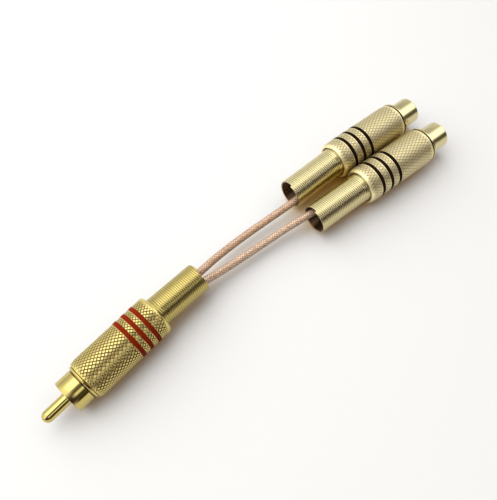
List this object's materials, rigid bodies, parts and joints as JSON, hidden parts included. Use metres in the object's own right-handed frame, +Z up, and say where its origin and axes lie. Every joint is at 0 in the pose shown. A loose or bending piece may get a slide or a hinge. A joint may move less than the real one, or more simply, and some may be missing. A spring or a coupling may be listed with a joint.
{
  "type": "phono splitter cable",
  "caption": "Short audio Y splitter: a gold-plated phono plug with a knurled shell, joined by thin translucent cables in coil-spring guards to in-line phono jacks lying side by side.",
  "frame": {"origin": "under the middle of the box round the three connectors, on the surface that their shells lie on", "axes": "+X from the plug's centre pin towards the jacks, along the plug's axis; +Y to the left of that, on the side of jack_a; +Z up"},
  "size_m": [0.1384, 0.031, 0.0116],
  "materials": {
    "gold": "polished yellow gold plating",
    "pale_gold": "polished pale gold plating",
    "spring_gold": "yellow gold plated spring wire",
    "spring_pale_gold": "pale gold plated spring wire",
    "red_enamel": "glossy red enamel",
    "black_enamel": "glossy black enamel",
    "nylon": "off-white moulded insulator",
    "sleeve_plastic": "thin translucent sleeve",
    "tinned_steel": "tinned sheet",
    "jacket": "soft translucent tan jacket over the braid",
    "braid": "twisted copper braid",
    "dielectric": "white dielectric",
    "conductor": "tinned copper conductor"
  },
  "bodies": {
    "root": {"plug_centre_pin": "gold", "plug_ground_ring": "gold", "plug_insulator": "nylon", "plug_ground_lug": "tinned_steel", "plug_inner_sleeve": "sleeve_plastic", "plug_shell": "gold", "plug_band_front": "red_enamel", "plug_band_middle": "red_enamel", "plug_band_rear": "red_enamel", "plug_spring": "spring_gold", "jack_a_contact_barrel": "pale_gold", "jack_a_insulator": "nylon", "jack_a_centre_contact": "gold", "jack_a_ground_lug": "tinned_steel", "jack_a_inner_sleeve": "sleeve_plastic", "jack_a_shell": "pale_gold", "jack_a_band_front": "black_enamel", "jack_a_band_middle": "black_enamel", "jack_a_band_rear": "black_enamel", "jack_a_spring": "spring_pale_gold", "jack_b_contact_barrel": "pale_gold", "jack_b_insulator": "nylon", "jack_b_centre_contact": "gold", "jack_b_ground_lug": "tinned_steel", "jack_b_inner_sleeve": "sleeve_plastic", "jack_b_shell": "pale_gold", "jack_b_band_front": "black_enamel", "jack_b_band_middle": "black_enamel", "jack_b_band_rear": "black_enamel", "jack_b_spring": "spring_pale_gold", "plug_cable_a_jacket": "jacket", "plug_cable_a_braid": "braid", "plug_cable_a_dielectric": "dielectric", "plug_cable_a_conductor": "conductor", "plug_cable_b_jacket": "jacket", "plug_cable_b_braid": "braid", "plug_cable_b_dielectric": "dielectric", "plug_cable_b_conductor": "conductor", "jack_a_cable_jacket": "jacket", "jack_a_cable_braid": "braid", "jack_a_cable_dielectric": "dielectric", "jack_a_cable_conductor": "conductor", "jack_b_cable_jacket": "jacket", "jack_b_cable_braid": "braid", "jack_b_cable_dielectric": "dielectric", "jack_b_cable_conductor": "conductor", "cable_a": "jacket", "cable_b": "jacket"}
  },
  "joints": []
}
